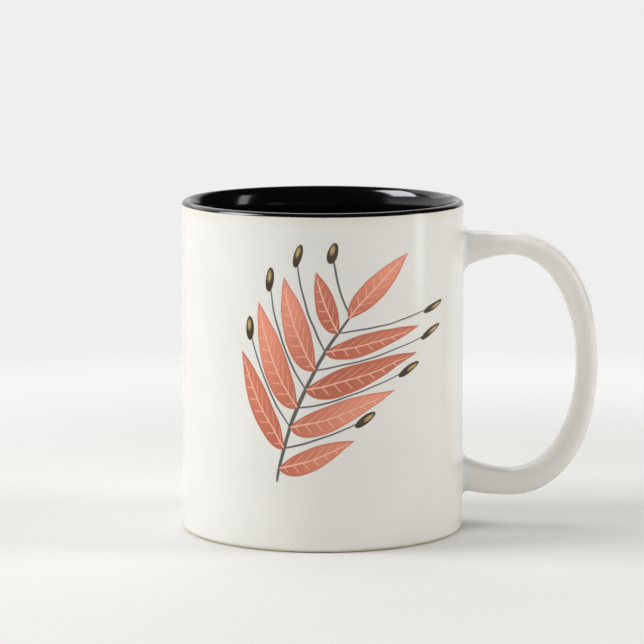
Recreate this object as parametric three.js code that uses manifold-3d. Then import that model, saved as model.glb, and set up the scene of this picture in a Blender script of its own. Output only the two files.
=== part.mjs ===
// A straight-sided ceramic mug with a D-shaped handle: one solid, in millimetres, +Z up.
// The origin is the bottom centre of the whole mug's box, and the handle points along +X.

import * as THREE from 'three';
import { mergeVertices } from 'three/addons/utils/BufferGeometryUtils.js';
import Module from 'manifold-3d';

// Body: a straight wall that thins on the inside into a rounded lip
const bodyDiameter = 82;
const bodyHeight = 96.3;
const wallThickness = 4;
const lipRadius = 1.5; // the lip's round on the outside
const lipDepth = 6; // how far the lip's inside curve runs down the wall
const floorThickness = 4.6;
const insideFilletRadius = 9; // where the inside wall turns into the floor

// Foot: a flat ring that the mug stands on, round a shallow recess
const baseEdgeRadius = 1.4; // where the outside wall turns under
const footRingWidth = 4.2;
const footRecessDepth = 1.6;
const footCoveRadius = 1.2; // where the ring meets the recess

// Handle: two short arms and a half-ellipse grip between them
const handleReach = 39.4; // from the wall to the outermost point of the grip
const armLength = 14.1; // from the wall to the start of the grip
const upperArmDrop = 12.8; // from the rim down to the upper arm's centre
const lowerArmRise = 13.2; // from the foot up to the lower arm's centre
const upperRootDip = 1.7; // how far the upper arm bends down to meet the wall
const lowerRootLift = 2.6; // how far the lower arm bends up to meet the wall
const gripThickness = 6.4; // in the handle's own plane, at the middle of the grip
const upperArmThickness = 6.6;
const lowerArmThickness = 7.7;
const upperShoulderThickening = 0.8; // between an arm and the middle of the grip
const lowerShoulderThickening = 0.3;
const shoulderFullness = 0.45; // how far the shoulders stand out from the half ellipse
const gripWidth = 13; // across the handle's plane
const sectionPower = 2.4; // the section's outline: 2 is an ellipse, more is squarer

// Roots: each arm swells towards the wall and ends there in a small fillet
const rootSwellLength = 14.3;
const upperRootSwell = 4.3;
const lowerRootSwell = 2;
const rootWidening = 2.6;
const rootFilletRadius = 2;
const rootFilletSink = 0.25; // how far the fillet runs under the wall's surface, to meet it at a clear edge
const rootDepth = wallThickness / 2; // how far the arms run into the wall

// Facets
const bodySegments = 96;
const lipSteps = 5;
const insideLipSteps = 7;
const edgeSteps = 4;
const insideFilletSteps = 7;
const sectionSegments = 30;
const gripSteps = 34;
const armSteps = 6;
const rootFilletSteps = 4;

const wallRadius = bodyDiameter / 2;
const whiteGlaze = new THREE.MeshStandardMaterial({ color: 0xf2f0ec, roughness: 0.12, metalness: 0 });

const wasm = await Module();
wasm.setup();

// Points of an ellipse from one angle to another, both ends included
function ellipseArc(centreX, centreY, radiusX, radiusY, startAngle, endAngle, steps) {
  const points = [];
  for (let i = 0; i <= steps; i += 1) {
    const angle = THREE.MathUtils.lerp(startAngle, endAngle, i / steps);
    points.push(new THREE.Vector2(centreX + radiusX * Math.cos(angle), centreY + radiusY * Math.sin(angle)));
  }
  return points;
}

function arc(centreX, centreY, radius, startAngle, endAngle, steps) {
  return ellipseArc(centreX, centreY, radius, radius, startAngle, endAngle, steps);
}

// Half section of the body, from the axis under the recess round to the axis on the inside floor
function bodyProfile() {
  const footRadius = wallRadius - baseEdgeRadius;
  const recessRadius = footRadius - footRingWidth;
  const coveRadius = Math.min(footCoveRadius, footRecessDepth);
  const crest = wallRadius - lipRadius;
  const insideFloor = footRecessDepth + floorThickness;
  const filletX = wallRadius - wallThickness - insideFilletRadius;
  return [
    new THREE.Vector2(0, footRecessDepth),
    ...arc(recessRadius - coveRadius, footRecessDepth - coveRadius, coveRadius, Math.PI / 2, 0, edgeSteps),
    new THREE.Vector2(recessRadius, 0),
    ...arc(footRadius, baseEdgeRadius, baseEdgeRadius, -Math.PI / 2, 0, edgeSteps),
    ...arc(crest, bodyHeight - lipRadius, lipRadius, 0, Math.PI / 2, lipSteps),
    ...ellipseArc(
      crest, bodyHeight - lipDepth, wallThickness - lipRadius, lipDepth, Math.PI / 2, Math.PI, insideLipSteps,
    ).slice(1),
    ...arc(filletX, insideFloor + insideFilletRadius, insideFilletRadius, 0, -Math.PI / 2, insideFilletSteps),
    new THREE.Vector2(0, insideFloor),
  ];
}

function bodyGeometry() {
  return new THREE.LatheGeometry(bodyProfile(), bodySegments).rotateX(Math.PI / 2);
}

// The handle's centreline, in its own plane: x outwards from the body's axis, y upwards
function handleCurves() {
  const upperZ = bodyHeight - upperArmDrop;
  const lowerZ = lowerArmRise;
  const gripStart = wallRadius + armLength;
  const bend = wallRadius + armLength / 2;
  const gripRadius = handleReach - armLength - gripThickness / 2;
  return {
    upperArm: new THREE.QuadraticBezierCurve(
      new THREE.Vector2(wallRadius, upperZ - upperRootDip),
      new THREE.Vector2(bend, upperZ),
      new THREE.Vector2(gripStart, upperZ),
    ),
    grip: new THREE.EllipseCurve(
      gripStart, (upperZ + lowerZ) / 2, gripRadius, (upperZ - lowerZ) / 2, Math.PI / 2, -Math.PI / 2, true,
    ),
    lowerArm: new THREE.QuadraticBezierCurve(
      new THREE.Vector2(gripStart, lowerZ),
      new THREE.Vector2(bend, lowerZ),
      new THREE.Vector2(wallRadius, lowerZ + lowerRootLift),
    ),
  };
}

// One section of the handle, at a point of its centreline. armShare is 1 on an arm and 0 at the middle
// of the grip, with the shoulder halfway between. growth is what the root's fillet adds all round. Near
// the wall the section stands upright and wraps round the wall.
function station(curve, t, armShare, isUpper, growth = 0) {
  const centre = curve.getPoint(t);
  const tangent = curve.getTangent(t);
  const normal = new THREE.Vector2(-tangent.y, tangent.x);
  const shoulder = 4 * armShare * (1 - armShare);
  const outward = centre.x - wallRadius;
  const nearWall = THREE.MathUtils.clamp(1 - outward / rootSwellLength, 0, 1) ** 2;
  const armThickness = isUpper ? upperArmThickness : lowerArmThickness;
  const thickening = isUpper ? upperShoulderThickening : lowerShoulderThickening;
  const swell = isUpper ? upperRootSwell : lowerRootSwell;
  const thickness = THREE.MathUtils.lerp(gripThickness, armThickness, armShare)
    + thickening * shoulder + swell * nearWall;
  const wrap = THREE.MathUtils.smoothstep(1 - outward / armLength, 0, 1);
  const upright = new THREE.Vector2(0, isUpper ? 1 : -1);
  return {
    centre: centre.addScaledVector(normal, shoulderFullness * shoulder),
    outer: normal.lerp(upright, wrap).normalize(),
    halfThickness: thickness / 2 + growth,
    halfWidth: (gripWidth + rootWidening * nearWall) / 2 + growth,
    wrap,
  };
}

// The sections along one arm, from inside the wall out to the grip
function armStations(curve, isUpper) {
  const atDistance = (distance, growth) => {
    const share = distance / armLength;
    return station(curve, isUpper ? share : 1 - share, 1, isUpper, growth);
  };
  const root = atDistance(-rootFilletSink, rootFilletRadius);
  const buried = { ...root, centre: new THREE.Vector2(wallRadius - rootDepth, root.centre.y) };
  const outwards = [buried];
  for (let i = 0; i < rootFilletSteps; i += 1) {
    const angle = (Math.PI / 2) * (1 - i / rootFilletSteps);
    const distance = rootFilletRadius * (1 - Math.sin(angle)) - rootFilletSink;
    outwards.push(atDistance(distance, rootFilletRadius * (1 - Math.cos(angle))));
  }
  const armStart = rootFilletRadius - rootFilletSink;
  for (let i = 0; i < armSteps; i += 1) {
    outwards.push(atDistance(THREE.MathUtils.lerp(armStart, armLength, i / armSteps), 0));
  }
  return isUpper ? outwards : outwards.reverse();
}

function gripStations(curve) {
  const stations = [];
  for (let i = 0; i <= gripSteps; i += 1) {
    const t = i / gripSteps;
    stations.push(station(curve, t, Math.cos(Math.PI * t) ** 2, t < 0.5));
  }
  return stations;
}

// The closed outline of one section
function sectionPoints({ centre, outer, halfThickness, halfWidth, wrap }) {
  const roundOff = (value) => Math.sign(value) * Math.abs(value) ** (2 / sectionPower);
  const points = [];
  for (let i = 0; i < sectionSegments; i += 1) {
    const angle = (2 * Math.PI * i) / sectionSegments;
    const across = halfWidth * roundOff(Math.cos(angle));
    const up = halfThickness * roundOff(Math.sin(angle));
    const wallSag = centre.x - Math.sqrt(centre.x ** 2 - across ** 2);
    points.push(new THREE.Vector3(
      centre.x + up * outer.x - wrap * wallSag,
      across,
      centre.y + up * outer.y,
    ));
  }
  return points;
}

// A closed solid through a row of outlines, each end filled by a fan from its middle
function loft(outlines) {
  const count = outlines[0].length;
  const last = outlines.length - 1;
  const vertices = outlines.flat();
  const middle = (outline) => outline.reduce((sum, p) => sum.add(p), new THREE.Vector3()).divideScalar(count);
  const startMiddle = vertices.push(middle(outlines[0])) - 1;
  const endMiddle = vertices.push(middle(outlines[last])) - 1;
  const triangles = [];
  for (let i = 0; i < count; i += 1) {
    const next = (i + 1) % count;
    for (let ring = 0; ring < last; ring += 1) {
      const a = ring * count + i;
      const b = ring * count + next;
      triangles.push(a, b, a + count, b, b + count, a + count);
    }
    triangles.push(startMiddle, next, i, endMiddle, last * count + i, last * count + next);
  }
  return new THREE.BufferGeometry().setFromPoints(vertices).setIndex(triangles);
}

function handleGeometry() {
  const curves = handleCurves();
  const stations = [
    ...armStations(curves.upperArm, true),
    ...gripStations(curves.grip),
    ...armStations(curves.lowerArm, false),
  ];
  return loft(stations.map(sectionPoints));
}

// A solid from a closed geometry, with shared vertices merged and flat triangles at the poles left out
function solidFrom(geometry) {
  geometry.deleteAttribute('normal');
  geometry.deleteAttribute('uv');
  const merged = mergeVertices(geometry, 1e-4);
  const triangles = [];
  const index = merged.index.array;
  for (let i = 0; i < index.length; i += 3) {
    const [a, b, c] = index.slice(i, i + 3);
    if (a !== b && b !== c && c !== a) {
      triangles.push(a, b, c);
    }
  }
  return new wasm.Manifold(new wasm.Mesh({
    numProp: 3,
    vertProperties: new Float32Array(merged.attributes.position.array),
    triVerts: new Uint32Array(triangles),
  }));
}

function geometryFrom(solid) {
  const mesh = solid.getMesh();
  const geometry = new THREE.BufferGeometry();
  geometry.setAttribute('position', new THREE.BufferAttribute(mesh.vertProperties, mesh.numProp));
  geometry.setIndex(new THREE.BufferAttribute(mesh.triVerts, 1));
  geometry.computeVertexNormals();
  return geometry;
}

const mug = new THREE.Mesh(
  geometryFrom(solidFrom(bodyGeometry()).add(solidFrom(handleGeometry()))),
  whiteGlaze,
);
mug.name = 'mug';
mug.position.x = -handleReach / 2;

const model = new THREE.Group();
model.add(mug);

export default model;
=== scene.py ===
import bpy
import bmesh
import math
import numpy as np
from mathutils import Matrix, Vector


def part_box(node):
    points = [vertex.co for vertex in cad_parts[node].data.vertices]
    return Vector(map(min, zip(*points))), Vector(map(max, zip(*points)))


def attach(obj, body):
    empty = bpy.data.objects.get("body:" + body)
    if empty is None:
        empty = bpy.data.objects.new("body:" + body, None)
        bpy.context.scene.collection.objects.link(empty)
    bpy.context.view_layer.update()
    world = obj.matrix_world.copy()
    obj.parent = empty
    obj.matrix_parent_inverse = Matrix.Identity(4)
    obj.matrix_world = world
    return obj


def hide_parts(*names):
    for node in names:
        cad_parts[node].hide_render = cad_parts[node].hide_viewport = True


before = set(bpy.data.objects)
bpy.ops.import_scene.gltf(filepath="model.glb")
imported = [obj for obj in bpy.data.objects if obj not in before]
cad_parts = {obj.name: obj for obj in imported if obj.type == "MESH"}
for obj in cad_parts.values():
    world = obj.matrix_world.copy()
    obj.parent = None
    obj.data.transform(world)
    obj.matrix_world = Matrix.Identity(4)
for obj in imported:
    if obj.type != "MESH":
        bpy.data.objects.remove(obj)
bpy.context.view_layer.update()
print("frame loaded")

# Lengths in the dictionaries are millimetres. The mug's own box gives its main sizes.
mm = 0.001
boxLow, boxHigh = (np.array(corner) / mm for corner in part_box("mug"))
wallRadius = (boxHigh[1] - boxLow[1]) / 2
mugHeight = boxHigh[2]
axisX = boxLow[0] + wallRadius  # the round body's axis; the box's middle lies nearer to the handle
handleReach = boxHigh[0] - axisX - wallRadius


# Camera: the photograph's viewing angle, read from the rim and foot ellipses

cameraView = {
    "distance": 985.0,  # in front of the body's axis
    "height": 197.6,
    "sideways": -0.19,  # from the body's axis
    "downTilt": 7.938,  # degrees
    "focalPixels": 3408.0,
    "imagePixels": 644.0,
    "sensorWidth": 36.0,
    "clip": (50.0, 20000.0),  # nearest and furthest that it sees
}


def makeCamera(view):
    data = bpy.data.cameras.new("photoCamera")
    data.sensor_width = view["sensorWidth"]
    data.lens = view["focalPixels"] * view["sensorWidth"] / view["imagePixels"]
    data.clip_start, data.clip_end = (distance * mm for distance in view["clip"])
    camera = bpy.data.objects.new("photoCamera", data)
    bpy.context.scene.collection.objects.link(camera)
    camera.location = ((axisX + view["sideways"]) * mm, -view["distance"] * mm, view["height"] * mm)
    camera.rotation_euler = (math.radians(90 - view["downTilt"]), 0, 0)
    bpy.context.scene.camera = camera


makeCamera(cameraView)
bpy.context.scene.view_settings.view_transform = "Standard"
print("camera set")


# Mug: a turned body and a lofted handle, as one closed skin

mugShape = {
    "wall": 4.0,
    "insideFloor": 6.2,  # above the table
    "insideFillet": 9.0,
    "baseEdge": 1.4,
    "footRing": 4.2,  # width of the flat that touches the table
    "footInnerEdge": 0.3,
    "recessDepth": 1.6,
    "recessCove": 1.2,
    "lipRound": 1.5,  # the rim's radius on the outside
    "lipDepth": 6.0,  # how far the rim's inside curve comes down
    "lipLine": 1.08,  # how far the dark glaze comes down outside, below the top
    "lipWander": 0.05,
    "lipWaves": ((3, 0.4, 1.0), (7, 2.1, 0.7), (13, 0.0, 0.5)),  # waves round the rim, phase and share
    "clayEdge": 0.35,  # how far the bare clay comes up outside
    "middleRing": 2.0,  # radius of the innermost ring on the floor and under the foot
    "columns": 240,
}

# Rows of faces along each stretch of the body's profile
profileRows = {
    "recess": 12,
    "cove": 8,
    "footInnerEdge": 4,
    "footRing": 4,
    "clayEdge": 4,
    "glazedEdge": 6,
    "belowRoots": 4,
    "betweenRoots": 22,
    "aboveRoots": 2,
    "whiteLip": 6,
    "blackLip": 12,
    "insideLip": 20,
    "insideWall": 20,
    "insideFillet": 16,
    "insideFloor": 12,
}

handleShape = {
    "armLength": 14.1,
    "upperDrop": 12.8,
    "lowerRise": 13.2,
    "upperDip": 1.7,
    "lowerLift": 2.6,
    "gripThickness": 6.4,
    "upperThickness": 6.6,
    "lowerThickness": 7.7,
    "upperShoulder": 0.8,  # extra thickness between an arm and the middle of the grip
    "lowerShoulder": 0.3,
    "shoulderFullness": 0.45,
    "gripWidth": 13.0,
    "sectionPower": 2.4,
    "swellLength": 14.3,
    "upperSwell": 4.3,
    "lowerSwell": 2.0,
    "widening": 2.6,
    "fillet": 2.0,
    "filletSteps": 8,
    "armSteps": 14,
    "gripSteps": 90,
}

# Two windows in the wall's grid, where the handle's roots come out
rootWindow = {
    "halfColumns": 12,
    "rows": 16,
    "halfHeight": 10.5,
    "rings": 5,  # between a window's edge and a root's fillet
}


def smoothStep(value):
    # three times the square less twice the cube, between 0 and 1
    clipped = np.clip(value, 0, 1)
    return clipped * clipped * (3 - 2 * clipped)


def arcPoints(centre, radii, startDegrees, endDegrees, steps):
    # points of a circle's or an ellipse's arc, both ends included
    angle = np.radians(np.linspace(startDegrees, endDegrees, steps + 1))
    return np.array(centre) + np.stack([np.cos(angle), np.sin(angle)], axis=1) * np.array(radii)


def linePoints(start, end, steps):
    # evenly spaced points of a straight line, both ends included
    share = np.linspace(0, 1, steps + 1)[:, None]
    return np.array(start) * (1 - share) + np.array(end) * share


def rootHeights(shape):
    # where the two arms' middle lines meet the wall
    upper = mugHeight - shape["upperDrop"] - shape["upperDip"]
    lower = shape["lowerRise"] + shape["lowerLift"]
    return upper, lower


def bodyProfile(shape, rows, window, roots):
    # Half section as (radius, height), from the axis under the foot, up the outside, over the rim and
    # down the inside to the axis again: straight lines, circle arcs and one ellipse arc. Returns the
    # points, and the row at which each stretch starts.
    names = ("recessDepth", "recessCove", "footInnerEdge", "baseEdge", "insideFloor", "insideFillet")
    recessZ, cove, inner, edge, floorZ, fillet = (shape[name] for name in names)
    inside = wallRadius - shape["wall"]
    contact = wallRadius - edge
    recess = contact - shape["footRing"]
    crest = wallRadius - shape["lipRound"]
    coveMiddle = (recess - cove, recessZ - cove)
    innerMiddle = (recess + inner, inner)
    edgeMiddle = (contact, edge)
    filletMiddle = (inside - fillet, floorZ + fillet)
    outsideLip = (crest, mugHeight - shape["lipRound"]), shape["lipRound"]
    insideLip = (crest, mugHeight - shape["lipDepth"]), (crest - inside, shape["lipDepth"])
    lipAngle = math.degrees(math.asin(1 - shape["lipLine"] / shape["lipRound"]))
    clayAngle = -math.degrees(math.asin(1 - shape["clayEdge"] / edge))
    half, middle = window["halfHeight"], shape["middleRing"]
    upperRoot, lowerRoot = roots

    def wallPoints(low, high, steps):
        return linePoints((wallRadius, low), (wallRadius, high), steps)

    stretches = {
        "recess": linePoints((middle, recessZ), (coveMiddle[0], recessZ), rows["recess"]),
        "cove": arcPoints(coveMiddle, cove, 90, 0, rows["cove"]),
        "footInnerEdge": arcPoints(innerMiddle, inner, 180, 270, rows["footInnerEdge"]),
        "footRing": linePoints((innerMiddle[0], 0), (contact, 0), rows["footRing"]),
        "clayEdge": arcPoints(edgeMiddle, edge, -90, clayAngle, rows["clayEdge"]),
        "glazedEdge": arcPoints(edgeMiddle, edge, clayAngle, 0, rows["glazedEdge"]),
        "belowRoots": wallPoints(edge, lowerRoot - half, rows["belowRoots"]),
        "lowerWindow": wallPoints(lowerRoot - half, lowerRoot + half, window["rows"]),
        "betweenRoots": wallPoints(lowerRoot + half, upperRoot - half, rows["betweenRoots"]),
        "upperWindow": wallPoints(upperRoot - half, upperRoot + half, window["rows"]),
        "aboveRoots": wallPoints(upperRoot + half, outsideLip[0][1], rows["aboveRoots"]),
        "whiteLip": arcPoints(*outsideLip, 0, lipAngle, rows["whiteLip"]),
        "blackLip": arcPoints(*outsideLip, lipAngle, 90, rows["blackLip"]),
        "insideLip": arcPoints(*insideLip, 90, 180, rows["insideLip"]),
        "insideWall": linePoints((inside, insideLip[0][1]), (inside, filletMiddle[1]), rows["insideWall"]),
        "insideFillet": arcPoints(filletMiddle, fillet, 0, -90, rows["insideFillet"]),
        "insideFloor": linePoints((filletMiddle[0], floorZ), (middle, floorZ), rows["insideFloor"]),
    }
    points, starts, last = [], {}, 0
    for name, stretch in stretches.items():
        starts[name] = last
        last += len(stretch) - 1
        points.append(stretch[1:] if points else stretch)
    return np.concatenate(points), starts


def turnedGrid(profile, starts, shape):
    # Each profile point carried round the axis. The row between the glazes wanders up and down a
    # little: a sum of sines of the angle, with whole numbers of waves.
    angle = np.linspace(0, 2 * np.pi, shape["columns"], endpoint=False)
    radius = np.repeat(profile[:, :1], shape["columns"], axis=1)
    height = np.repeat(profile[:, 1:], shape["columns"], axis=1)
    wander = sum(share * np.sin(waves * angle + phase) for waves, phase, share in shape["lipWaves"])
    wander /= sum(share for waves, phase, share in shape["lipWaves"])
    height[starts["blackLip"]] += shape["lipWander"] * wander
    return np.stack([axisX + radius * np.cos(angle), radius * np.sin(angle), height], axis=2)


def windowLoop(window):
    # Steps along a window's edge as (column, row), counted from its middle, once round, anticlockwise
    # from the middle of the right side
    halfColumns, halfRows = window["halfColumns"], window["rows"] // 2
    right = [(halfColumns, row) for row in range(0, halfRows)]
    top = [(column, halfRows) for column in range(halfColumns, -halfColumns, -1)]
    left = [(-halfColumns, row) for row in range(halfRows, -halfRows, -1)]
    bottom = [(column, -halfRows) for column in range(-halfColumns, halfColumns)]
    rightAgain = [(halfColumns, row) for row in range(-halfRows, 0)]
    return np.array(right + top + left + bottom + rightAgain)


def handleStations(shape):
    # The centreline and sizes of every section, root to root. Each arm is a parabola that is level at
    # the grip. The grip is half an ellipse whose shoulders stand out a little, by the sine squared of
    # twice the angle. The arms thicken and widen towards the wall by the square of the nearness, and
    # at a root a quarter circle of fillet is added all round.
    steps = shape["filletSteps"]
    fillet = np.radians(90 * (1 - np.arange(steps) / steps))
    distance = np.concatenate([
        shape["fillet"] * (1 - np.sin(fillet)),
        np.linspace(shape["fillet"], shape["armLength"], shape["armSteps"], endpoint=False),
    ])
    growth = np.concatenate([shape["fillet"] * (1 - np.cos(fillet)), np.zeros(shape["armSteps"])])
    share = 1 - distance / shape["armLength"]
    upperZ, lowerZ = mugHeight - shape["upperDrop"], shape["lowerRise"]
    slope = 2 * share / shape["armLength"]

    angle = np.linspace(np.pi / 2, -np.pi / 2, shape["gripSteps"] + 1)
    gripStart = wallRadius + shape["armLength"]
    gripRadius = handleReach - shape["armLength"] - shape["gripThickness"] / 2
    gripHalf, gripMiddle = (upperZ - lowerZ) / 2, (upperZ + lowerZ) / 2

    outward = np.concatenate([distance, gripStart - wallRadius + gripRadius * np.cos(angle), distance[::-1]])
    height = np.concatenate([
        upperZ - shape["upperDip"] * share ** 2,
        gripMiddle + gripHalf * np.sin(angle),
        (lowerZ + shape["lowerLift"] * share ** 2)[::-1],
    ])
    outerX = np.concatenate([
        -shape["upperDip"] * slope,
        gripHalf * np.cos(angle),
        -(shape["lowerLift"] * slope)[::-1],
    ])
    outerZ = np.concatenate([np.ones_like(slope), gripRadius * np.sin(angle), -np.ones_like(slope)])
    normal = np.stack([outerX, outerZ], axis=1)
    normal /= np.linalg.norm(normal, axis=1)[:, None]

    isUpper = height > gripMiddle
    armShare = np.concatenate([np.ones_like(share), np.sin(angle) ** 2, np.ones_like(share)])
    shoulder = 4 * armShare * (1 - armShare)
    shoulderOut = shape["shoulderFullness"] * shoulder[:, None] * normal
    armThickness = np.where(isUpper, shape["upperThickness"], shape["lowerThickness"])
    swell = np.where(isUpper, shape["upperSwell"], shape["lowerSwell"])
    nearWall = np.clip(1 - outward / shape["swellLength"], 0, 1) ** 2
    allGrowth = np.concatenate([growth, np.zeros_like(angle), growth[::-1]])
    wrap = smoothStep(1 - outward / shape["armLength"])
    upright = np.stack([np.zeros_like(wrap), np.where(isUpper, 1.0, -1.0)], axis=1)
    outer = normal * (1 - wrap[:, None]) + upright * wrap[:, None]
    outer /= np.linalg.norm(outer, axis=1)[:, None]
    thickness = (
        shape["gripThickness"]
        + (armThickness - shape["gripThickness"]) * armShare
        + np.where(isUpper, shape["upperShoulder"], shape["lowerShoulder"]) * shoulder
        + swell * nearWall
    )
    return {
        "radius": wallRadius + outward + shoulderOut[:, 0],
        "height": height + shoulderOut[:, 1],
        "outer": outer,
        "halfThickness": thickness / 2 + allGrowth,
        "halfWidth": (shape["gripWidth"] + shape["widening"] * nearWall) / 2 + allGrowth,
        "wrap": wrap,
    }


def handleGrid(shape, loop, window):
    # One outline for each station. The outline is a superellipse, whose corners look at the corners of
    # the window, and near the wall it is bent round the wall's cylinder.
    station = handleStations(shape)
    angle = np.arctan2(loop[:, 1] / (window["rows"] / 2), loop[:, 0] / window["halfColumns"])
    power = 2 / shape["sectionPower"]
    cosine = np.sign(np.cos(angle)) * np.abs(np.cos(angle)) ** power
    sine = np.sign(np.sin(angle)) * np.abs(np.sin(angle)) ** power
    across = station["halfWidth"][:, None] * cosine
    up = station["halfThickness"][:, None] * sine
    radius = station["radius"][:, None]
    sag = radius - np.sqrt(radius ** 2 - across ** 2)
    outer = station["outer"]
    x = axisX + radius + up * outer[:, :1] - station["wrap"][:, None] * sag
    z = station["height"][:, None] + up * outer[:, 1:]
    return np.stack([x, across, z], axis=2)


def collarGrid(windowPoints, rootPoints, window):
    # Rings on the wall's cylinder between a window's edge and a root's outline, straight lines in the
    # unrolled wall
    def unroll(points):
        return np.stack([np.arctan2(points[:, 1], points[:, 0] - axisX), points[:, 2]], axis=1)

    share = (np.arange(1, window["rings"] + 1) / (window["rings"] + 1))[:, None, None]
    flat = unroll(windowPoints) * (1 - share) + unroll(rootPoints) * share
    return np.stack([
        axisX + wallRadius * np.cos(flat[..., 0]),
        wallRadius * np.sin(flat[..., 0]),
        flat[..., 1],
    ], axis=2)


def stripFaces(ringIndices):
    # quads between neighbouring rings of vertex numbers, each ring closed on itself
    following = np.roll(ringIndices, -1, axis=1)
    return np.stack([ringIndices[:-1], following[:-1], following[1:], ringIndices[1:]], axis=2)


def mugSkin(shape, rows, handle, window):
    # One closed skin: the turned wall with a window cut out at each root, the loft of the handle, a
    # collar between each window and its root, and a fan of triangles at each pole. The last value
    # returned is each face's glaze: 0 white, 1 black, 2 bare clay.
    profile, starts = bodyProfile(shape, rows, window, rootHeights(handle))
    grid = turnedGrid(profile, starts, shape)
    rowCount, columns = grid.shape[:2]
    vertices = [grid.reshape(-1, 3)]
    numbers = np.arange(rowCount * columns).reshape(rowCount, columns)
    quads = stripFaces(numbers)
    rowOf = np.repeat(np.arange(rowCount - 1)[:, None], columns, axis=1)
    columnOf = np.repeat(np.arange(columns)[None, :], rowCount - 1, axis=0)
    fromMiddle = (columnOf + window["halfColumns"]) % columns
    kept = np.ones(rowOf.shape, bool)
    for start in (starts["lowerWindow"], starts["upperWindow"]):
        inRows = (rowOf >= start) & (rowOf < start + window["rows"])
        kept &= ~(inRows & (fromMiddle < 2 * window["halfColumns"]))
    glaze = np.where(rowOf >= starts["blackLip"], 1, 0)
    glaze[(rowOf >= starts["footInnerEdge"]) & (rowOf < starts["glazedEdge"])] = 2
    faces = [quads[kept]]
    faceGlaze = [glaze[kept]]

    loop = windowLoop(window)
    loft = handleGrid(handle, loop, window)
    count = rowCount * columns
    loftNumbers = count + np.arange(loft.shape[0] * loft.shape[1]).reshape(loft.shape[:2])
    vertices.append(loft.reshape(-1, 3))
    count += loftNumbers.size
    rings = [loftNumbers]

    for name, turn, rootRing in (("upperWindow", 1, 0), ("lowerWindow", -1, -1)):
        middleRow = starts[name] + window["rows"] // 2
        edge = numbers[middleRow + turn * loop[:, 1], loop[:, 0] % columns]
        collar = collarGrid(grid.reshape(-1, 3)[edge], loft[rootRing], window)
        collarNumbers = count + np.arange(collar.shape[0] * collar.shape[1]).reshape(collar.shape[:2])
        vertices.append(collar.reshape(-1, 3))
        count += collarNumbers.size
        rings.append(np.concatenate([edge[None], collarNumbers, loftNumbers[rootRing][None]]))
    for ring in rings:
        strip = stripFaces(ring).reshape(-1, 4)
        faces.append(strip)
        faceGlaze.append(np.zeros(len(strip), int))

    poles = np.array([[axisX, 0, profile[0, 1]], [axisX, 0, profile[-1, 1]]])
    vertices.append(poles)
    triangles = []
    for pole, ring in ((count, numbers[0]), (count + 1, numbers[-1])):
        following = np.roll(ring, -1)
        triangles.append(np.stack([np.full(columns, pole), ring, following], axis=1))
    faceGlaze.append(np.repeat([0, 1], columns))
    faceList = np.concatenate(faces).tolist() + np.concatenate(triangles).tolist()
    return np.concatenate(vertices), faceList, np.concatenate(faceGlaze)


def makePiece(name, points, faces, materials, faceMaterial):
    # a smooth mesh with its faces turned outwards
    mesh = bpy.data.meshes.new(name)
    mesh.from_pydata((points * mm).tolist(), [], faces)
    for material in materials:
        mesh.materials.append(material)
    mesh.polygons.foreach_set("material_index", np.asarray(faceMaterial, dtype=np.int32))
    mesh.polygons.foreach_set("use_smooth", np.ones(len(faces), dtype=bool))
    build = bmesh.new()
    build.from_mesh(mesh)
    bmesh.ops.recalc_face_normals(build, faces=build.faces)
    build.to_mesh(mesh)
    build.free()
    mesh.update()
    piece = bpy.data.objects.new(name, mesh)
    bpy.context.scene.collection.objects.link(piece)
    return piece


# Node helpers. A value is a number, a colour, a vector, a node's output or a formula of those.

nodeLayout = {"right": 190, "down": 230, "perRow": 12, "shaderAt": 2500}


class NodeValue:
    # A node's output that stands in a formula: each sign adds one Math node to the same tree
    def __init__(self, tree, socket):
        self.tree = tree
        self.socket = socket

    def math(self, operation, *others):
        return calc(self.tree, operation, self, *others)

    def __add__(self, other):
        return self.math("ADD", other)

    def __radd__(self, other):
        return self.math("ADD", other)

    def __sub__(self, other):
        return self.math("SUBTRACT", other)

    def __rsub__(self, other):
        return calc(self.tree, "SUBTRACT", other, self)

    def __mul__(self, other):
        return self.math("MULTIPLY", other)

    def __rmul__(self, other):
        return self.math("MULTIPLY", other)

    def __truediv__(self, other):
        return self.math("DIVIDE", other)

    def __pow__(self, other):
        return self.math("POWER", other)

    def __abs__(self):
        return self.math("ABSOLUTE")


def setValue(tree, socket, value):
    if isinstance(value, NodeValue):
        tree.links.new(value.socket, socket)
    else:
        socket.default_value = value


def addNode(tree, kind, values=None, **settings):
    node = tree.nodes.new("ShaderNode" + kind)
    row, column = divmod(len(tree.nodes), nodeLayout["perRow"])
    node.location = (nodeLayout["right"] * column, -nodeLayout["down"] * row)
    for name, setting in settings.items():
        setattr(node, name, setting)
    for name, value in (values or {}).items():
        setValue(tree, node.inputs[name], value)
    return node


def outputs(tree, node):
    return {socket.name: NodeValue(tree, socket) for socket in node.outputs if socket.enabled}


def calc(tree, operation, *values):
    node = addNode(tree, "Math", dict(enumerate(values)), operation=operation)
    return NodeValue(tree, node.outputs[0])


def vectorCalc(tree, operation, *values):
    node = addNode(tree, "VectorMath", dict(enumerate(values)), operation=operation)
    return NodeValue(tree, node.outputs[0])


def split(tree, vector):
    return list(outputs(tree, addNode(tree, "SeparateXYZ", {0: vector})).values())


def ramp(tree, value, start, end, low=0.0, high=1.0):
    # from low at start to high at end, with soft ends
    values = {"Value": value, "From Min": start, "From Max": end, "To Min": low, "To Max": high}
    node = addNode(tree, "MapRange", values, interpolation_type="SMOOTHSTEP")
    return NodeValue(tree, node.outputs["Result"])


def mixColour(tree, share, first, second):
    node = addNode(tree, "Mix", data_type="RGBA")
    for index, value in ((0, share), (6, first), (7, second)):
        setValue(tree, node.inputs[index], value)
    return NodeValue(tree, node.outputs[2])


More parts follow.
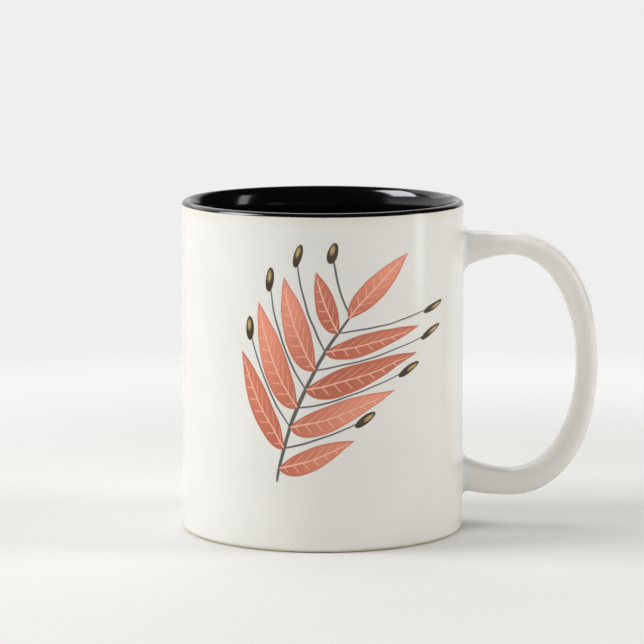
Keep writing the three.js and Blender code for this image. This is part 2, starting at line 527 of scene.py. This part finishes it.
def noise(tree, place, size, detail=1.0):
    # size is the length of one lump, in the unit of place
    node = addNode(tree, "TexNoise", {"Vector": place, "Scale": 1.0 / size, "Detail": detail})
    return NodeValue(tree, node.outputs["Fac"])


def newGroup(name, inputNames, outputNames):
    # every socket is a number, apart from one called Place
    tree = bpy.data.node_groups.new(name, "ShaderNodeTree")
    for side, names in (("INPUT", inputNames), ("OUTPUT", outputNames)):
        for socketName in names:
            kind = "NodeSocketVector" if socketName == "Place" else "NodeSocketFloat"
            tree.interface.new_socket(socketName, in_out=side, socket_type=kind)
    source = tree.nodes.new("NodeGroupInput")
    source.location = (-2 * nodeLayout["right"], 0)
    result = tree.nodes.new("NodeGroupOutput")
    result.location = (nodeLayout["shaderAt"], 0)
    return tree, outputs(tree, source), result


def finishGroup(tree, result, values):
    for name, value in values.items():
        setValue(tree, result.inputs[name], value)
    return tree


def useGroup(tree, group, values):
    return outputs(tree, addNode(tree, "Group", values, node_tree=group))


def newMaterial(name, fixedValues):
    # fixedValues are set on the shader's own sockets
    material = bpy.data.materials.new(name)
    material.use_nodes = True
    tree = material.node_tree
    shader = tree.nodes["Principled BSDF"]
    shader.location = (nodeLayout["shaderAt"], 0)
    tree.nodes["Material Output"].location = (nodeLayout["shaderAt"] + 2 * nodeLayout["right"], 0)
    for socketName, value in fixedValues.items():
        shader.inputs[socketName].default_value = value
    return material, tree, shader


def millimetres(tree):
    coordinates = outputs(tree, addNode(tree, "TexCoord"))["Object"]
    return vectorCalc(tree, "MULTIPLY", coordinates, (1 / mm,) * 3)


def fromScreen(colour):
    # a screen colour, 0 to 255, as the shader's linear colour, by the sRGB curve
    share = np.array(colour) / 255
    linear = np.where(share > 0.04045, ((share + 0.055) / 1.055) ** 2.4, share / 12.92)
    return (*linear.tolist(), 1.0)


def bumpNormal(tree, height):
    # height is in millimetres
    node = addNode(tree, "Bump", {"Height": height, "Distance": mm, "Strength": 1.0})
    return NodeValue(tree, node.outputs["Normal"])


# Glaze surface, shared by both glazes: a slow change of depth, a fine orange peel and rare pinholes.
# Here and below, a mark or tone that has a pair of numbers starts at the first and is full at the
# second.

glazeDetail = {
    "waveSize": 24.0,
    "peelSize": 1.4,
    "cloudSize": 17.0,
    "pinholeSpacing": 8.0,
    "pinholeEdge": (0.03, 0.015),  # from its middle, as a share of the spacing
    "pinholeDepth": 0.04,
}


def makeGlazeSurface(look):
    tree, given, result = newGroup(
        "glazeSurface",
        ("Place", "Wave Depth", "Peel Depth", "Pinholes"),
        ("Cloud", "Height", "Pinhole"),
    )
    place = given["Place"]
    wave = noise(tree, place, look["waveSize"], detail=0.0) * given["Wave Depth"]
    peel = noise(tree, place, look["peelSize"]) * given["Peel Depth"]
    voronoi = addNode(tree, "TexVoronoi", {"Vector": place, "Scale": 1 / look["pinholeSpacing"]})
    cells = outputs(tree, voronoi)
    pick = split(tree, cells["Color"])[0].math("LESS_THAN", given["Pinholes"])
    pinhole = ramp(tree, cells["Distance"], *look["pinholeEdge"]) * pick
    return finishGroup(tree, result, {
        "Cloud": noise(tree, place, look["cloudSize"], detail=2.0),
        "Height": wave + peel - pinhole * look["pinholeDepth"],
        "Pinhole": pinhole,
    })


# Printed sprig: a bowed stem, curved leaves on both sides, and twigs that end in buds between them

sprig = {
    "root": (-13.0, 20.0),  # on the unrolled wall: right of the front, and above the table
    "tilt": 66.0,  # degrees from level
    "stemLength": 52.0,
    "stemHalfWidth": 0.55,
    "stemBluntness": 0.25,
    "stemBow": 3.5,
    "firstLeaf": 4.0,
    "spacing": 12.0,
    "leavesPerSide": 4,
    "lean": 58.0,  # degrees between stem and leaf
    "curl": 0.012,
    "leafLength": 29.0,
    "leafHalfWidth": 4.5,
    "largestAt": 0.4,  # share of the row where the leaves are largest
    "sizeFall": 1.5,
    "endLeafLength": 24.0,
    "endLeafHalfWidth": 3.6,
    "twigLength": 30.0,
    "twigHalfWidth": 0.28,
    "twigBluntness": 0.15,
    "budHalfLength": 2.5,
    "budHalfWidth": 1.7,
    "heartAlong": 0.35,  # share of a bud
    "heartEdge": (0.65, 0.15),
    "wobble": 1.2,
    "wobbleSize": 11.0,
    "wobbleApart": (60.0, 0.0, 0.0),  # between the two places that the wobbles are read from
    "softEdge": 0.11,
    "line": (92, 90, 86),
    "bud": (60, 46, 18),
    "budHeart": (198, 168, 100),
}

leafLook = {
    "pale": (240, 150, 120),
    "deep": (192, 96, 66),
    "vein": (248, 190, 165),
    "widestBefore": 0.8,  # power of the share along a leaf: 1 puts its widest place in the middle
    "stemShade": 0.75,
    "stemBand": (0.75, 0.0),  # share of the leaf
    "edgeShade": 0.55,
    "edgeBand": (0.55, 0.1),
    "toneShade": 0.8,
    "toneRange": (0.3, 0.95),  # of each leaf's own random number
    "veinSpacing": 3.0,
    "veinSlant": 1.1,
    "sideVein": (0.075, 0.035),  # share of the spacing
    "sideVeinEnd": (0.85, 0.55),  # share of the half width
    "sideVeinStrength": 0.8,
    "middleVein": (0.3, 0.15),
    "middleVeinEnd": (0.97, 0.8),  # share of the leaf
}


def makeLeafShape(look):
    # One leaf along a straight line. With s as the share along it, to the power that puts its widest
    # place before the middle, the half width is (4 s (1 - s)) to the power of the bluntness: 1 gives a
    # pointed leaf, and near 0 a plain stroke.
    tree, given, result = newGroup(
        "leafShape",
        ("Along", "Across", "Length", "Half Width", "Bluntness", "Soft Edge"),
        ("Mask", "Share", "Side", "Depth"),
    )
    share = (given["Along"] / given["Length"]).math("MAXIMUM", 0.0).math("MINIMUM", 1.0)
    skewed = share ** look["widestBefore"]
    half = given["Half Width"] * (4 * skewed * (1 - skewed)) ** given["Bluntness"]
    endRoom = given["Along"].math("MINIMUM", given["Length"] - given["Along"])
    depth = (half - abs(given["Across"])).math("MINIMUM", endRoom)
    return finishGroup(tree, result, {
        "Mask": ramp(tree, depth, 0 - given["Soft Edge"], given["Soft Edge"]),
        "Share": share,
        "Side": abs(given["Across"]) / half.math("MAXIMUM", 0.1),
        "Depth": depth,
    })


def makeLeafRow(look):
    # The nearest of a row of leaves on both sides of a stem, from the distance along it and off it. A
    # leaf's middle line runs off at the lean and curls by the square of the distance off. The distance
    # along, less that line, gives the leaf's number and the distance across it. Leaves on the left
    # start half a spacing later and count from 10, and those at both ends of the row are smaller.
    tree, given, result = newGroup(
        "leafRow",
        ("Along", "Off", "First", "Spacing", "Count", "Lean", "Curl"),
        ("Leaf Along", "Leaf Across", "Size", "Number", "In Row"),
    )
    off = abs(given["Off"])
    left = given["Off"].math("GREATER_THAN", 0.0)
    later = left * 0.5
    sine = given["Lean"].math("SINE")
    middleLine = off / given["Lean"].math("TANGENT") + given["Curl"] * off * off
    cell = (given["Along"] - middleLine - given["First"]) / given["Spacing"] - later
    number = cell.math("ROUND")
    fromLargest = (number + later) / given["Count"] - look["largestAt"]
    return finishGroup(tree, result, {
        "Leaf Along": off / sine,
        "Leaf Across": (cell - number) * given["Spacing"] * sine,
        "Size": 1 - look["sizeFall"] * fromLargest * fromLargest,
        "Number": number + 10 * left,
        "In Row": number.math("GREATER_THAN", -0.5) * number.math("LESS_THAN", given["Count"] - 0.5),
    })


def paintLeaf(tree, under, look, leaf, along, across, darker, shown):
    # deeper near the stem and at the edge, with a middle vein and slanting side veins
    pale, deep, vein = (fromScreen(look[name]) for name in ("pale", "deep", "vein"))
    body = mixColour(tree, ramp(tree, leaf["Share"], *look["stemBand"], 0.0, look["stemShade"]), pale, deep)
    body = mixColour(tree, darker, body, deep)
    slant = (along - abs(across) * look["veinSlant"]) / look["veinSpacing"]
    sideVein = ramp(tree, abs(slant.math("FRACT") - 0.5), *look["sideVein"])
    sideVein = sideVein * ramp(tree, leaf["Side"], *look["sideVeinEnd"])
    middleVein = ramp(tree, abs(across), *look["middleVein"])
    middleVein = middleVein * ramp(tree, leaf["Share"], *look["middleVeinEnd"])
    body = mixColour(tree, middleVein.math("MAXIMUM", sideVein * look["sideVeinStrength"]), body, vein)
    edge = ramp(tree, leaf["Depth"], *look["edgeBand"], 0.0, look["edgeShade"])
    body = mixColour(tree, edge, body, deep)
    return mixColour(tree, leaf["Mask"] * shown, under, body)


def paintSprig(tree, place, under, look, leafColours, leafShape, leafRow):
    # the wall unrolled: along it to the right of the front, and up
    x, y, z = split(tree, place)
    right = wallRadius * (y.math("ARCTAN2", x - axisX) + math.pi / 2)
    elsewhere = vectorCalc(tree, "ADD", place, look["wobbleApart"])
    wobbleRight = (noise(tree, place, look["wobbleSize"]) - 0.5) * look["wobble"]
    wobbleUp = (noise(tree, elsewhere, look["wobbleSize"]) - 0.5) * look["wobble"]
    fromRootRight = right - look["root"][0] + wobbleRight
    fromRootUp = z - look["root"][1] + wobbleUp
    cosine, sine = math.cos(math.radians(look["tilt"])), math.sin(math.radians(look["tilt"]))
    along = fromRootRight * cosine + fromRootUp * sine
    share = along / look["stemLength"]
    off = fromRootUp * cosine - fromRootRight * sine - look["stemBow"] * 4 * share * (1 - share)
    line, bud, heart = (fromScreen(look[name]) for name in ("line", "bud", "budHeart"))
    soft = look["softEdge"]

    def rowAt(first):
        return useGroup(tree, leafRow, {
            "Along": along, "Off": off, "First": first, "Spacing": look["spacing"],
            "Count": look["leavesPerSide"], "Lean": math.radians(look["lean"]), "Curl": look["curl"],
        })

    def shapeOf(alongLeaf, across, length, halfWidth, bluntness):
        return useGroup(tree, leafShape, {
            "Along": alongLeaf, "Across": across, "Length": length, "Half Width": halfWidth,
            "Bluntness": bluntness, "Soft Edge": soft,
        })

    stem = shapeOf(along, off, look["stemLength"] + 1, look["stemHalfWidth"], look["stemBluntness"])
    colour = mixColour(tree, stem["Mask"], under, line)

    twigs = rowAt(look["firstLeaf"] + look["spacing"] / 2)
    alongTwig, acrossTwig = twigs["Leaf Along"], twigs["Leaf Across"]
    twigLength = twigs["Size"] * look["twigLength"]
    twig = shapeOf(alongTwig, acrossTwig, twigLength, look["twigHalfWidth"], look["twigBluntness"])
    colour = mixColour(tree, twig["Mask"] * twigs["In Row"], colour, line)
    budAlong = (alongTwig - twigLength) / look["budHalfLength"]
    budAcross = acrossTwig / look["budHalfWidth"]
    fromBud = (budAlong * budAlong + budAcross * budAcross) ** 0.5
    heartAlong = budAlong - look["heartAlong"]
    fromHeart = (heartAlong * heartAlong + budAcross * budAcross) ** 0.5
    budColour = mixColour(tree, ramp(tree, fromHeart, *look["heartEdge"]), bud, heart)
    budMask = ramp(tree, fromBud, 1 + soft / 2, 1 - soft / 2) * twigs["In Row"]
    colour = mixColour(tree, budMask, colour, budColour)

    leaves = rowAt(look["firstLeaf"])
    alongLeaf, acrossLeaf, shown = leaves["Leaf Along"], leaves["Leaf Across"], leaves["In Row"]
    length, halfWidth = leaves["Size"] * look["leafLength"], leaves["Size"] * look["leafHalfWidth"]
    leaf = shapeOf(alongLeaf, acrossLeaf, length, halfWidth, 1.0)
    random = addNode(tree, "TexWhiteNoise", {"W": leaves["Number"]}, noise_dimensions="1D")
    tone = outputs(tree, random)["Value"]
    darker = ramp(tree, tone, *leafColours["toneRange"], 0.0, leafColours["toneShade"])
    colour = paintLeaf(tree, colour, leafColours, leaf, alongLeaf, acrossLeaf, darker, shown)

    fromStemEnd = along - look["stemLength"] + 1
    endLeaf = shapeOf(fromStemEnd, off, look["endLeafLength"], look["endLeafHalfWidth"], 1.0)
    return paintLeaf(tree, colour, leafColours, endLeaf, fromStemEnd, off, 0.0, 1.0)


# White glaze: painted shade at the foot, painted reflection below the lip, a little deeper in the handle's
# roots

whiteLook = {
    "colour": (239, 237, 232),
    "cloudColour": (236, 234, 229),
    # colour of the painted warm shade on the foot's round and the painted warm reflection just below the lip
    "shadeAndReflectionColour": (222, 208, 184),
    "poolColour": (231, 233, 231),
    "speckColour": (150, 128, 100),
    "cloudRange": (0.35, 0.7),
    "poolBand": (0.05, 0.7),  # out from the wall
    "poolEnd": (4.0, 1.0),  # further out, where it is over
    "poolShare": 0.8,
    "footShadeBand": (1.5, 0.3),  # above the table
    "footShadeShare": 0.85,
    "lipReflectionBand": (4.5, 1.0),  # below the top
    "lipReflectionShare": 0.3,
    "speckShare": 0.6,
    "roughness": 0.09,
    "cloudRoughness": 0.04,
    "ior": 1.5,
    "waveDepth": 0.035,
    "peelDepth": 0.0035,
    "pinholes": 0.05,  # share of the places for one that have one
}


def addGlaze(tree, look, surface, place):
    # the shared surface, with one glaze's own depths
    names = {"Wave Depth": "waveDepth", "Peel Depth": "peelDepth", "Pinholes": "pinholes"}
    return useGroup(tree, surface, {"Place": place, **{name: look[key] for name, key in names.items()}})


def fromBodyAxis(x, y):
    # distance from the round body's axis
    return ((x - axisX) * (x - axisX) + y * y) ** 0.5


def setLooks(tree, shader, colour, roughness, height):
    setValue(tree, shader.inputs["Base Color"], colour)
    setValue(tree, shader.inputs["Roughness"], roughness)
    setValue(tree, shader.inputs["Normal"], bumpNormal(tree, height))


def makeWhiteGlaze(look, surface, leafShape, leafRow):
    material, tree, shader = newMaterial("whiteGlaze", {"IOR": look["ior"]})
    place = millimetres(tree)
    x, y, z = split(tree, place)
    glaze = addGlaze(tree, look, surface, place)
    names = ("colour", "cloudColour", "shadeAndReflectionColour", "poolColour", "speckColour")
    white, cloudy, shadeAndReflection, pool, speck = (fromScreen(look[name]) for name in names)
    colour = mixColour(tree, ramp(tree, glaze["Cloud"], *look["cloudRange"]), white, cloudy)
    fromWall = fromBodyAxis(x, y) - wallRadius
    pooled = ramp(tree, fromWall, *look["poolBand"]) * ramp(tree, fromWall, *look["poolEnd"])
    colour = mixColour(tree, pooled * look["poolShare"], colour, pool)
    # painted light: a warm shade on the round of the foot, and a warm reflection just below the lip
    footShadeShare = ramp(tree, z, *look["footShadeBand"], 0.0, look["footShadeShare"])
    lipStart, lipFull = (mugHeight - drop for drop in look["lipReflectionBand"])
    lipReflectionShare = ramp(tree, z, lipStart, lipFull, 0.0, look["lipReflectionShare"])
    colour = mixColour(tree, footShadeShare.math("MAXIMUM", lipReflectionShare), colour, shadeAndReflection)
    colour = paintSprig(tree, place, colour, sprig, leafLook, leafShape, leafRow)
    colour = mixColour(tree, glaze["Pinhole"] * look["speckShare"], colour, speck)
    roughness = look["roughness"] + glaze["Cloud"] * look["cloudRoughness"]
    setLooks(tree, shader, colour, roughness, glaze["Height"])
    return material


# Black glaze: glossy, and thinner and browner along its edge

blackLook = {
    "colour": (10, 10, 11),
    "edgeColour": (52, 45, 40),
    "edgeBand": 0.35,  # how far up from the black glaze's lower edge
    "outsideBand": (0.45, 0.2),  # in from the wall's outside
    "roughness": 0.1,
    "cloudRoughness": 0.05,
    "ior": 1.7,
    "waveDepth": 0.03,
    "peelDepth": 0.003,
    "pinholes": 0.03,
}


def makeBlackGlaze(look, surface):
    material, tree, shader = newMaterial("blackGlaze", {"IOR": look["ior"]})
    place = millimetres(tree)
    x, y, z = split(tree, place)
    glaze = addGlaze(tree, look, surface, place)
    outsideStart, outsideFull = (wallRadius - inwards for inwards in look["outsideBand"])
    outside = ramp(tree, fromBodyAxis(x, y), outsideStart, outsideFull)
    lowerEdge = mugHeight - mugShape["lipLine"]
    edge = ramp(tree, z, lowerEdge + look["edgeBand"], lowerEdge)
    colour = mixColour(tree, outside * edge, fromScreen(look["colour"]), fromScreen(look["edgeColour"]))
    roughness = look["roughness"] + glaze["Cloud"] * look["cloudRoughness"]
    setLooks(tree, shader, colour, roughness, glaze["Height"])
    return material


# Bare clay of the foot ring: buff, grainy, and rubbed grey where it stands on the table

clayLook = {
    "colour": (222, 212, 194),
    "grainColour": (196, 180, 154),
    "rubbedColour": (176, 168, 156),
    "darkGrain": (120, 100, 78),
    "grainSize": 0.45,
    "grainRange": (0.4, 0.7),
    "scuffSize": 3.5,
    "scuffRange": (0.45, 0.65),
    "scuffBand": (0.12, 0.0),  # above the table
    "scuffShare": 0.8,
    "darkSize": 0.8,
    "darkRange": (0.72, 0.78),
    "roughness": 0.72,
    "grainRoughness": 0.25,
    "ior": 1.5,
    "grainDepth": 0.02,
}


def makeBareClay(look):
    material, tree, shader = newMaterial("bareClay", {"IOR": look["ior"]})
    place = millimetres(tree)
    height = split(tree, place)[2]
    names = ("colour", "grainColour", "rubbedColour", "darkGrain")
    buff, grainy, rubbed, dark = (fromScreen(look[name]) for name in names)
    grain = noise(tree, place, look["grainSize"], detail=3.0)
    colour = mixColour(tree, ramp(tree, grain, *look["grainRange"]), buff, grainy)
    scuff = ramp(tree, noise(tree, place, look["scuffSize"], detail=3.0), *look["scuffRange"])
    scuff = scuff * ramp(tree, height, *look["scuffBand"])
    colour = mixColour(tree, scuff * look["scuffShare"], colour, rubbed)
    darkGrain = ramp(tree, noise(tree, place, look["darkSize"], detail=0.0), *look["darkRange"])
    colour = mixColour(tree, darkGrain, colour, dark)
    roughness = look["roughness"] + (grain - 0.5) * look["grainRoughness"]
    setLooks(tree, shader, colour, roughness, grain * look["grainDepth"])
    return material


points, faces, faceGlaze = mugSkin(mugShape, profileRows, handleShape, rootWindow)
glazeSurface = makeGlazeSurface(glazeDetail)
leafShape = makeLeafShape(leafLook)
leafRow = makeLeafRow(sprig)
glazes = [
    makeWhiteGlaze(whiteLook, glazeSurface, leafShape, leafRow),
    makeBlackGlaze(blackLook, glazeSurface),
    makeBareClay(clayLook),
]
print("glazes made")
mug = makePiece("mug_glazed", points, faces, glazes, faceGlaze)
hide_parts("mug")
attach(mug, "root")
print("mug made:", len(points), "points")


# Floor: pale paper, wide enough for every view. It is lit near the mug. Further off, what looks at it
# sees an even tone, which fades from the table's to the backdrop's.

floorLook = {
    "halfSide": 12000.0,
    "colour": (234, 233, 231),
    "fibreColour": (230, 229, 226),
    "fibreSize": 0.9,
    "fibreRange": (0.35, 0.75),
    "fibreDepth": 0.01,
    "fibreRoughness": 0.2,
    "roughness": 0.75,
    "ior": 1.4,
    "specular": 0.3,
    "tableTone": (246, 246, 245),
    "evenBand": (150.0, 290.0),  # from the middle, where the even tone takes over
    "backdropBand": (300.0, 380.0),  # from the middle, where the table's tone fades to the backdrop's
}

room = {
    "backdrop": (239, 239, 239),
    "ceiling": (28, 26, 24),
    "backdropTop": 0.06,  # the height, as a sine, where the backdrop starts to darken into the ceiling
    "extraBehind": 0.3,  # how much higher it is straight behind the mug
    "fade": 0.4,
    "darkSide": (0.67, -0.74),  # in front on the right, the way in which the room is dark
    "darkBand": (-0.39, -0.14),
}


def seenByEye(tree):
    # 1 for rays from the camera and for what shows in gloss and glass
    rays = outputs(tree, addNode(tree, "LightPath"))
    seen = rays["Is Camera Ray"].math("MAXIMUM", rays["Is Glossy Ray"])
    return seen.math("MAXIMUM", rays["Is Transmission Ray"])


def floorPaper(look):
    fixedValues = {"IOR": look["ior"], "Specular IOR Level": look["specular"]}
    material, tree, shader = newMaterial("floorPaper", fixedValues)
    place = millimetres(tree)
    fibre = noise(tree, place, look["fibreSize"], detail=3.0)
    pale, fibrous = fromScreen(look["colour"]), fromScreen(look["fibreColour"])
    colour = mixColour(tree, ramp(tree, fibre, *look["fibreRange"]), pale, fibrous)
    roughness = look["roughness"] + (fibre - 0.5) * look["fibreRoughness"]
    setLooks(tree, shader, colour, roughness, fibre * look["fibreDepth"])
    x, y = split(tree, place)[:2]
    away = (x * x + y * y) ** 0.5
    fade = ramp(tree, away, *look["backdropBand"])
    tone = mixColour(tree, fade, fromScreen(look["tableTone"]), fromScreen(room["backdrop"]))
    even = addNode(tree, "Emission", {"Color": tone, "Strength": 1.0})
    share = ramp(tree, away, *look["evenBand"]) * seenByEye(tree)
    both = addNode(tree, "MixShader", {0: share})
    tree.links.new(shader.outputs[0], both.inputs[1])
    tree.links.new(even.outputs[0], both.inputs[2])
    tree.links.new(both.outputs[0], tree.nodes["Material Output"].inputs["Surface"])
    return material


def makeFloor(look):
    side = look["halfSide"] * mm
    corners = [(-side, -side, 0), (side, -side, 0), (side, side, 0), (-side, side, 0)]
    mesh = bpy.data.meshes.new("floor")
    mesh.from_pydata(corners, [], [(0, 1, 2, 3)])
    mesh.materials.append(floorPaper(look))
    floor = bpy.data.objects.new("floor", mesh)
    bpy.context.scene.collection.objects.link(floor)


makeFloor(floorLook)
print("floor made")


# Light: a soft key lamp on the left, a wide weak one behind it and a narrow strip on the right, then
# fills all round, which light the mug but don't show in its gloss

lamps = {
    "keyLeft": {"place": (-1070, -70, 948), "size": (660, 700), "power": 12.0, "colour": (0.955, 0.98, 1.0)},
    "backLeft": {"place": (-520, 990, 890), "size": (1600, 800), "power": 3.8, "colour": (1, 1, 1)},
    "stripRight": {"place": (400, -62, 160), "size": (80, 300), "power": 0.16, "colour": (1, 1, 1)},
}

fills = {
    "fillLeft": {"place": (-775, -974, 705), "size": (700, 700), "power": 3.6, "colour": (1, 0.99, 0.97)},
    "fillFront": {"place": (150, -1250, 400), "size": (700, 700), "power": 1.9, "colour": (1, 0.985, 0.955)},
    "fillRight": {"place": (1095, -38, 630), "size": (500, 700), "power": 6.0, "colour": (1, 0.995, 0.98)},
    "fillTop": {"place": (0, 150, 1300), "size": (900, 900), "power": 4.3, "colour": (1, 0.99, 0.965)},
}


def makeLamps(lampTable, inGloss):
    aim = Vector((axisX, 0, mugHeight / 2)) * mm
    for name, lamp in lampTable.items():
        data = bpy.data.lights.new(name, "AREA")
        data.shape = "RECTANGLE"
        data.size, data.size_y = (side * mm for side in lamp["size"])
        data.energy = lamp["power"]
        data.color = lamp["colour"]
        light = bpy.data.objects.new(name, data)
        bpy.context.scene.collection.objects.link(light)
        light.location = Vector(lamp["place"]) * mm
        light.rotation_euler = (aim - light.location).to_track_quat("-Z", "Y").to_euler()
        light.visible_camera = False
        light.visible_glossy = inGloss


def makeRoom(look):
    # a pale backdrop, highest behind the mug, which darkens towards the ceiling and the dark side
    world = bpy.data.worlds.new("softRoom")
    bpy.context.scene.world = world
    world.use_nodes = True
    tree = world.node_tree
    x, y, z = split(tree, outputs(tree, addNode(tree, "TexCoord"))["Generated"])
    top = y.math("MAXIMUM", 0.0) * look["extraBehind"] + look["backdropTop"]
    share = ramp(tree, z, top, top + look["fade"])
    toDark = x * look["darkSide"][0] + y * look["darkSide"][1]
    share = share.math("MAXIMUM", ramp(tree, toDark, *look["darkBand"]))
    colour = mixColour(tree, share, fromScreen(look["backdrop"]), fromScreen(look["ceiling"]))
    setValue(tree, tree.nodes["Background"].inputs["Color"], colour)


makeLamps(lamps, True)
makeLamps(fills, False)
makeRoom(room)
print("light set")
